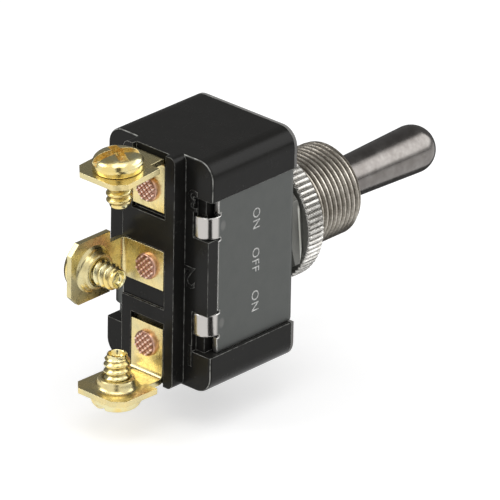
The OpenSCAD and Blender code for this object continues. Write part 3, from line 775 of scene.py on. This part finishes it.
def makeLever():
    v = lever
    bevel = v["shankBevel"]
    slope = (v["tipRadius"] - v["rootRadius"]) / (v["tip"] - v["pivot"])
    neck = [v["neckStart"] + v["neckStep"] * k for k in range(v["neckRings"])]
    profile = [(0, v["boreEnd"]), (v["boreRadius"], v["boreEnd"]), (v["boreRadius"], v["shankEnd"]),
               (v["shankRadius"] - bevel, v["shankEnd"]), (v["shankRadius"], v["shankEnd"] + bevel)]
    profile += arc((0, v["pivot"]), (v["ball"], v["ball"]), *v["ballAngles"], v["arcSteps"])
    profile += [(v["rootRadius"] + slope * (height - v["pivot"]), height) for height in neck]
    profile += arc((0, v["tip"]), (v["tipRadius"], v["tipRadius"]), *v["tipAngles"], v["arcSteps"])
    profile += [(0, v["tip"] + v["tipRadius"])]
    mesh = plainMesh(turned(profile, v["segments"]), "lever", 30)
    piece("batLever", mesh, "lever", "dark_nickel", frontFrame, ["lever"])


makeLever()
print("lever turned")


spring = {"joint": "plunger_slide", "wireRadius": 0.17, "turns": 6, "closedPitch": 0.36, "steps": 24,
          "sides": 10}


# Round wire along the path it is given
def wireTree():
    tree, graph, given = newTree("wire", {"Radius": "Float", "Sides": "Int"})
    path = graph.add("GeometryNodeMeshToCurve", None, {"Mesh": given["Geometry"]})
    ring = graph.add("GeometryNodeCurvePrimitiveCircle", {"mode": "RADIUS"},
                     {"Resolution": given["Sides"], "Radius": given["Radius"]})
    wire = graph.add("GeometryNodeCurveToMesh", None,
                     {"Curve": path, "Profile Curve": ring, "Fill Caps": True})
    endTree(graph, given, wire)
    return tree


# Coil with closed end turns
def makeSpring():
    v = spring
    low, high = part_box("plunger_spring")
    wire = v["wireRadius"] * mm
    coil = (high.x - low.x) / 2 - wire
    closed = v["closedPitch"] * mm
    openTurns = v["turns"] - 2
    pitch = (high.y - low.y - 2 * wire - 2 * closed) / openTurns
    points = []
    for k in range(v["turns"] * v["steps"] + 1):
        turn = k / v["steps"]
        angle = math.tau * turn
        rise = pitch * min(max(turn - 1, 0), openTurns)
        rise += closed * (min(turn, 1) + max(turn - 1 - openTurns, 0))
        points.append((coil * math.cos(angle), low.y + wire + rise, coil * math.sin(angle)))
    path = bpy.data.meshes.new("springPath")
    path.from_pydata(points, [(k, k + 1) for k in range(len(points) - 1)], [])
    values = {"Radius": wire, "Sides": v["sides"], "Material": finishes["pin_steel"]}
    made = bmesh.new()
    made.from_mesh(grown(wireTree(), values, path))
    coiled = piece("plungerSpring", plainMesh(made, "spring"), "lever", "pin_steel", None, ["plunger_spring"])
    slide = next(joint for joint in frame["joints"] if joint["name"] == v["joint"])
    keep = 1 - max(slide["range_m"]) / (high.y - low.y)
    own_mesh(coiled)


makeSpring()
print("spring coiled")


screw = {
    "thread": {"radius": 1.6, "depth": 0.34, "pitch": 0.88, "start": -4.55, "end": 0.02, "endRadius": 1.24,
               "segments": 64, "steps": 12},
    "headRadius": 3.1, "rim": 1.08, "domeRadius": 3.0, "top": 2.22, "domeAngles": (8, 84), "domeSteps": 10,
    "slotLength": 7.0, "slotWidth": 1.3, "slotFloor": 0.95,
    "crossLength": 4.5, "crossWidth": 1.17, "crossFloor": 0.7, "cutterHeight": 3.0, "wallShare": 0.45,
    "seat": 0.02, "lowerRim": [(-0.16, 0.02), (-0.04, 0.08), (0, 0.2)],
    "upperRim": [(0, -0.16), (-0.03, -0.05)], "domeStart": 0.03,
    "cup": [(0, -4.3), (0.7, -4.3), (0.9, -4.5), (0.97, -4.8), (1.03, -4.94), (1.1, -4.98), (1.19, -4.95)],
    "cupRim": -4.85, "pilotRadius": 1.24, "margin": 0.05, "rimWall": 0.15, "turn": {1: 87, 2: 20, 3: 64},
}


# Box that cuts one arm of the recess down to its floor
def recessBox(length, width, floor, angle):
    tall = screw["cutterHeight"]
    spin = Matrix.Rotation(math.radians(angle), 4, "Z")
    lift = Matrix.Translation((0, 0, (floor + tall / 2) * mm))
    size = Matrix.Diagonal((length * mm, width * mm, tall * mm, 1))
    made = bmesh.new()
    bmesh.ops.create_cube(made, size=1.0)
    bmesh.ops.transform(made, verts=made.verts, matrix=spin @ lift @ size)
    mesh = bpy.data.meshes.new("recess")
    made.to_mesh(mesh)
    made.free()
    cutter = linked("recess", mesh)
    cutter.hide_render = True
    return cutter


def screwMesh():
    s = screw
    head = s["headRadius"]
    pilot = s["pilotRadius"]
    segments = s["thread"]["segments"]
    # rounded by a few points under the rim and over it
    under = [(pilot, s["seat"])]
    under += [(head + out, height) for out, height in s["lowerRim"]]
    under += [(head + out, s["rim"] + height) for out, height in s["upperRim"]]
    under += [(s["domeRadius"], s["rim"] + s["domeStart"])]
    dome = arc((0, s["rim"]), (s["domeRadius"], s["top"] - s["rim"]), *s["domeAngles"], s["domeSteps"])
    cup = s["cup"] + [(pilot, s["cupRim"]), (pilot, s["thread"]["start"])]
    made = turned(under + dome + [(0, s["top"])], segments)
    rest = turned(cup, segments)
    cupMesh = bpy.data.meshes.new("cup")
    rest.to_mesh(cupMesh)
    rest.free()
    made.from_mesh(cupMesh)
    made.from_mesh(threadedTube(s["thread"], "screw_brass"))
    blank = linked("screwBlank", plainMesh(made, "screwBlank"))
    cutters = [recessBox(s["slotLength"], s["slotWidth"], s["slotFloor"], 0),
               recessBox(s["crossLength"], s["crossWidth"], s["crossFloor"], 0),
               recessBox(s["crossLength"], s["crossWidth"], s["crossFloor"], 90)]
    for cutter in cutters:
        modifier = blank.modifiers.new("cut", "BOOLEAN")
        modifier.operation = "DIFFERENCE"
        modifier.solver = "EXACT"
        modifier.object = cutter
    mesh = evaluated(blank)
    for cutter in cutters:
        bpy.data.objects.remove(cutter)
    # the faces under the dome's skin are marked: the recess glows warm, where its walls mirror each other
    marks = mesh.attributes.new("recess", "FLOAT", "FACE")
    for face in mesh.polygons:
        face.use_smooth = True
        across = face.center.xy.length / mm
        height = face.center.z / mm
        share = 1 - (across / s["domeRadius"]) ** 2
        skin = s["rim"] + (s["top"] - s["rim"]) * math.sqrt(max(share, 0))
        deep = s["crossFloor"] - s["margin"] < height < skin - s["margin"]
        inside = deep and across < head - s["rimWall"]
        marks.data[face.index].value = inside * (1.0 if face.normal.z > 0.9 else s["wallShare"])
    mesh.set_sharp_from_angle(angle=math.radians(38))
    return mesh


def makeScrews():
    blank = screwMesh()
    for number in (1, 2, 3):
        move = tabFrame(number) @ Matrix.Rotation(math.radians(screw["turn"][number]), 4, "Z")
        piece("bindingScrew%d" % number, blank.copy(), "screw_%d" % number, "screw_brass", move,
              ["terminal_screw_%d" % number])


makeScrews()
print("terminal screws cut")

# Rounded flare that draws each tab up round its tapped hole, over the plain collar
collar = {"flare": [(3.1, -0.66), (2.8, -0.75), (2.55, -0.92), (2.4, -1.18), (2.31, -1.5), (2.26, -1.72),
                    (2.16, -1.88), (2.0, -1.95), (1.8, -1.95), (1.68, -1.89), (1.75, -1.8), (2.0, -1.6),
                    (2.0, -0.6), (3.05, -0.6)], "segments": 64}
for number in (1, 2, 3):
    mesh = plainMesh(turned(collar["flare"], collar["segments"], closed=True), "collar", 60)
    piece("tabCollar%d" % number, mesh, "housing", "brass", tabFrame(number))
print("collars flared")


rivet = {"radius": 1.65, "head": 0.5, "shank": 1.1, "inner": 1.7, "innerHead": 0.6, "innerBevel": 0.1,
         "rimBevel": 0.18, "rimBulge": 0.06, "hollow": [(0.9, 0.03), (0, 0.04)], "segments": 48,
         "pitch": 0.58, "count": 7, "reach": 1.4, "turn": 45,
         "pointRadius": 0.27, "pointHeight": 0.34, "pointTaper": 0.45, "pointSides": 10, "pointSunk": 0.05}


# Small blunt points on a grid, kept to the rivet's round face
def waffleTree():
    sizes = {"Pitch": "Float", "Count": "Int", "Reach": "Float", "Level": "Float", "Turn": "Float",
             "Point Sides": "Int", "Point Radius": "Float", "Point Taper": "Float", "Point Height": "Float"}
    tree, graph, given = newTree("waffle", sizes)
    width = given["Pitch"] * (given["Count"] - 1)
    grid = graph.add("GeometryNodeMeshGrid", None,
                     {"Size X": width, "Size Y": width, "Vertices X": given["Count"],
                      "Vertices Y": given["Count"]})
    distance = graph.vectors("LENGTH", graph.add("GeometryNodeInputPosition"), out="Value")
    away = graph.add("FunctionNodeCompare", {"data_type": "FLOAT", "operation": "GREATER_THAN"},
                     {0: distance, 1: given["Reach"]})
    kept = graph.add("GeometryNodeDeleteGeometry", {"domain": "POINT", "mode": "ALL"},
                     {"Geometry": grid, "Selection": away})
    spun = graph.add("GeometryNodeTransform", None,
                     {"Geometry": kept, "Translation": graph.joined(0.0, 0.0, given["Level"]),
                      "Rotation": graph.joined(0.0, 0.0, given["Turn"])})
    point = graph.add("GeometryNodeMeshCone", {"fill_type": "NGON"},
                      {"Vertices": given["Point Sides"], "Depth": given["Point Height"],
                       "Radius Top": given["Point Radius"] * given["Point Taper"],
                       "Radius Bottom": given["Point Radius"]})
    points = graph.add("GeometryNodeInstanceOnPoints", None, {"Points": spun, "Instance": point})
    both = graph.add("GeometryNodeJoinGeometry", None, {"Geometry": points})
    graph.tree.links.new(given["Geometry"].socket, both.socket.node.inputs["Geometry"])
    endTree(graph, given, both)
    return tree


def makeRivets():
    r = rivet
    waffles = waffleTree()
    for number in (1, 2, 3):
        low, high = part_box("rivet_%d" % number)
        inner = r["head"] - (high.y - low.y) / mm
        innerFace = inner + r["innerHead"]
        profile = [(0, inner), (r["inner"] - r["innerBevel"], inner), (r["inner"], inner + r["innerBevel"]),
                   (r["inner"], innerFace), (r["shank"], innerFace), (r["shank"], 0), (r["radius"], 0)]
        # a rounded rim round a face that is a little hollow
        profile += [(r["radius"], r["head"] - r["rimBevel"]),
                    (r["radius"] - r["rimBulge"], r["head"] - r["rimBulge"]),
                    (r["radius"] - r["rimBevel"], r["head"])]
        profile += [(across, r["head"] - depth) for across, depth in r["hollow"]]
        blank = plainMesh(turned(profile, r["segments"]), "rivetBlank")
        mesh = grown(waffles, {
            "Pitch": r["pitch"] * mm, "Count": r["count"], "Reach": r["reach"] * mm,
            "Level": (r["head"] - r["pointSunk"]) * mm, "Turn": math.radians(r["turn"]),
            "Point Sides": r["pointSides"], "Point Radius": r["pointRadius"] * mm,
            "Point Taper": r["pointTaper"], "Point Height": r["pointHeight"] * mm,
            "Material": finishes["copper"],
        }, blank)
        mesh.set_sharp_from_angle(angle=math.radians(40))
        move = Matrix.Translation((0, low.y + r["head"] * mm, (low.z + high.z) / 2)) @ rearFrame
        piece("waffleRivet%d" % number, mesh, "housing", "copper", move, ["rivet_%d" % number])


makeRivets()
print("rivets headed")


# Raised letters, centred and facing z
def lettering(words, size, depth, bevel, spacing):
    curve = bpy.data.curves.new("words", "FONT")
    curve.body = words
    curve.size = size * mm
    curve.extrude = depth * mm
    curve.space_character = spacing
    curve.bevel_depth = bevel * mm
    curve.bevel_resolution = 1
    curve.resolution_u = 4
    curve.align_x = "CENTER"
    curve.align_y = "CENTER"
    made = bmesh.new()
    made.from_mesh(evaluated(linked("words", curve)))
    return plainMesh(made, "words")


numbers = {"size": 3.9, "depth": 0.05, "bevel": 0.07, "spacing": 1.0, "rearPlane": -20.5,
           "places": {1: (5.3, -10.6), 2: (5.05, -0.3), 3: (5.4, 9.85)}}
for number, (across, height) in numbers["places"].items():
    move = Matrix.Translation((across * mm, numbers["rearPlane"] * mm, height * mm)) @ rearFrame
    move = move @ Matrix.Rotation(math.pi, 4, "Z")
    mesh = lettering(str(number), numbers["size"], numbers["depth"], numbers["bevel"], numbers["spacing"])
    piece("mouldedNumber%d" % number, mesh, "housing", "phenolic", move)

stamp = {"words": "ON    OFF    ON", "size": 1.75, "depth": 0.012, "bevel": 0.0, "spacing": 1.1,
         "face": 8.0, "along": -12.2, "height": 0.0}
sideways = Matrix(((0, 0, 1), (0, 1, 0), (-1, 0, 0))).to_4x4()
move = Matrix.Translation((stamp["face"] * mm, stamp["along"] * mm, stamp["height"] * mm)) @ sideways
mesh = lettering(stamp["words"], stamp["size"], stamp["depth"], stamp["bevel"], stamp["spacing"])
piece("stampedWords", mesh, "housing", "frame_steel", move, finish="ink")
print("numbers and words set")


stage = {"floor": 6.0, "floorTone": 0.72, "lift": 0.5, "ambient": 0.45, "fadeStart": 60, "fadeEnd": 260,
         "drop": 3.6}  # the floor is low enough for the lower screw to be backed out


# 1 for what looks at the stage: the camera, gloss and glass
def seen(graph):
    path = graph.add("ShaderNodeLightPath", out="Is Camera Ray")
    mirrored = graph.maths("MAXIMUM", path.other("Is Glossy Ray"), path.other("Is Transmission Ray"))
    return graph.maths("MAXIMUM", path, mirrored)


def makeFloor():
    made, graph = newMaterial("floorPaper")
    paper = graph.add("ShaderNodeBsdfDiffuse", None, {"Color": tone((stage["floorTone"],) * 3)})
    glow = graph.add("ShaderNodeEmission", None,
                     {"Color": (1, 1, 1, 1), "Strength": seen(graph) * stage["lift"]})
    both = graph.add("ShaderNodeAddShader", None, {0: paper, 1: glow})
    # further out, where no shadow falls, the floor runs into the white of the backdrop
    x, y, z = graph.split(graph.place())
    away = graph.step(graph.maths("SQRT", x * x + y * y), stage["fadeStart"], stage["fadeEnd"])
    white = graph.add("ShaderNodeEmission", None, {"Color": (1, 1, 1, 1), "Strength": seen(graph)})
    whole = graph.add("ShaderNodeMixShader", None, {0: away, 1: both, 2: white})
    graph.add("ShaderNodeOutputMaterial", None, {"Surface": whole})
    plane = bmesh.new()
    bmesh.ops.create_grid(plane, x_segments=1, y_segments=1, size=stage["floor"] / 2)
    mesh = bpy.data.meshes.new("floor")
    plane.to_mesh(mesh)
    plane.free()
    mesh.transform(Matrix.Translation((0, 0, cadBox[0].z - stage["drop"] * mm)))
    mesh.materials.append(made)
    linked("floor", mesh)


# Turns and rises of the curved cards in degrees, corners of the flat ones in millimetres
cards = {
    "leftCard": {"from": 84, "to": 216, "low": -2, "high": 78, "tone": 0.2},
    "horizonCard": {"from": -30, "to": 84, "low": -1.5, "high": 2.5, "tone": 0.02},
    "frontCard": {"from": -58, "to": -37, "low": 2.5, "high": 60, "tone": 0.03},
}
floorCards = {
    "nearCard": {"corners": [(13, -18), (400, -500), (560, -310), (20, -11)], "tone": 0.04},
    "farCard": {"corners": [(9, 0), (9, 20), (2, 60), (-16, 400), (-400, 400), (-400, -190), (-60, -44),
                            (-9, -22)], "tone": 0.1},
}
cardRadius = 0.62
cardColumns = 16
cardRows = 12
flatCardLift = 0.05


def makeCard(name, rows, level):
    made, graph = newMaterial(name)
    glow = graph.add("ShaderNodeEmission", None, {"Color": tone((level,) * 3), "Strength": 1.0})
    graph.add("ShaderNodeOutputMaterial", None, {"Surface": glow})
    shell = bmesh.new()
    grid = [[shell.verts.new(point) for point in row] for row in rows]
    if len(grid) == 1:
        shell.faces.new(grid[0])
    for lower, upper in zip(grid, grid[1:]):
        for j in range(len(lower) - 1):
            shell.faces.new((lower[j], lower[j + 1], upper[j + 1], upper[j]))
    mesh = bpy.data.meshes.new(name)
    shell.to_mesh(mesh)
    shell.free()
    mesh.materials.append(made)
    thing = linked(name, mesh)
    thing.visible_camera = False
    thing.visible_shadow = False
    thing.visible_diffuse = False


def onSphere(turn, rise):
    turn, rise = math.radians(turn), math.radians(rise)
    across = cardRadius * math.cos(rise)
    return (across * math.cos(turn), across * math.sin(turn), cardRadius * math.sin(rise))


# Curved cards round the object and flat ones at its lowest level, which only reflections see
def makeCards():
    for name, card in cards.items():
        turns = [card["from"] + (card["to"] - card["from"]) * k / cardColumns for k in range(cardColumns + 1)]
        rises = [card["low"] + (card["high"] - card["low"]) * k / cardRows for k in range(cardRows + 1)]
        makeCard(name, [[onSphere(turn, rise) for turn in turns] for rise in rises], card["tone"])
    level = cadBox[0].z + flatCardLift * mm
    for name, card in floorCards.items():
        makeCard(name, [[(x * mm, y * mm, level) for x, y in card["corners"]]], card["tone"])


lamps = {
    "windowLamp": {"from": (0.42, 0.68, 0.45), "distance": 0.6, "size": (0.5, 0.4), "power": 1.1},
    "frontLamp": {"from": (-0.55, -0.6, 0.6), "distance": 0.6, "size": (0.3, 0.3), "power": 0.9},
    "topLamp": {"from": (0.25, -0.3, 1.0), "distance": 0.6, "size": (0.4, 0.4), "power": 0.9},
}


def makeLights():
    for name, facts in lamps.items():
        lamp = bpy.data.lights.new(name, "AREA")
        lamp.shape = "RECTANGLE"
        lamp.energy = facts["power"]
        lamp.size, lamp.size_y = facts["size"]
        thing = bpy.data.objects.new(name, lamp)
        scene.collection.objects.link(thing)
        direction = Vector(facts["from"]).normalized()
        thing.location = direction * facts["distance"]
        thing.rotation_euler = direction.to_track_quat("Z", "Y").to_euler()
        thing.visible_camera = False
    world = bpy.data.worlds.new("studio")
    scene.world = world
    world.use_nodes = True
    world.node_tree.nodes.clear()
    graph = Graph(world.node_tree)
    look = seen(graph)
    sky = graph.add("ShaderNodeBackground", None,
                    {"Color": (1, 1, 1, 1), "Strength": look + (1 - look) * stage["ambient"]})
    graph.add("ShaderNodeOutputWorld", None, {"Surface": sky})


camera = {"azimuth": 42.442, "elevation": 25.267, "roll": 1.016, "distance": 989.66, "lens": 590.99,
          "sensor": 36, "near": 0.01, "far": 50, "aim": (1.515, -6.092, -2.935)}


def makeCamera():
    azimuth = math.radians(camera["azimuth"])
    elevation = math.radians(camera["elevation"])
    level = math.cos(elevation)
    back = Vector((math.sin(azimuth) * level, -math.cos(azimuth) * level, math.sin(elevation)))
    right = Vector((math.cos(azimuth), math.sin(azimuth), 0))
    turn = Matrix((right, back.cross(right), back)).transposed().to_4x4()
    turn = turn @ Matrix.Rotation(math.radians(camera["roll"]), 4, "Z")
    lens = bpy.data.cameras.new("camera")
    lens.lens = camera["lens"]
    lens.sensor_width = camera["sensor"]
    lens.clip_start = camera["near"]
    lens.clip_end = camera["far"]
    thing = bpy.data.objects.new("camera", lens)
    scene.collection.objects.link(thing)
    thing.matrix_world = Matrix.Translation((Vector(camera["aim"]) + back * camera["distance"]) * mm) @ turn
    scene.camera = thing


makeFloor()
makeCards()
makeLights()
makeCamera()
scene.view_settings.view_transform = "Standard"
print("stage set")
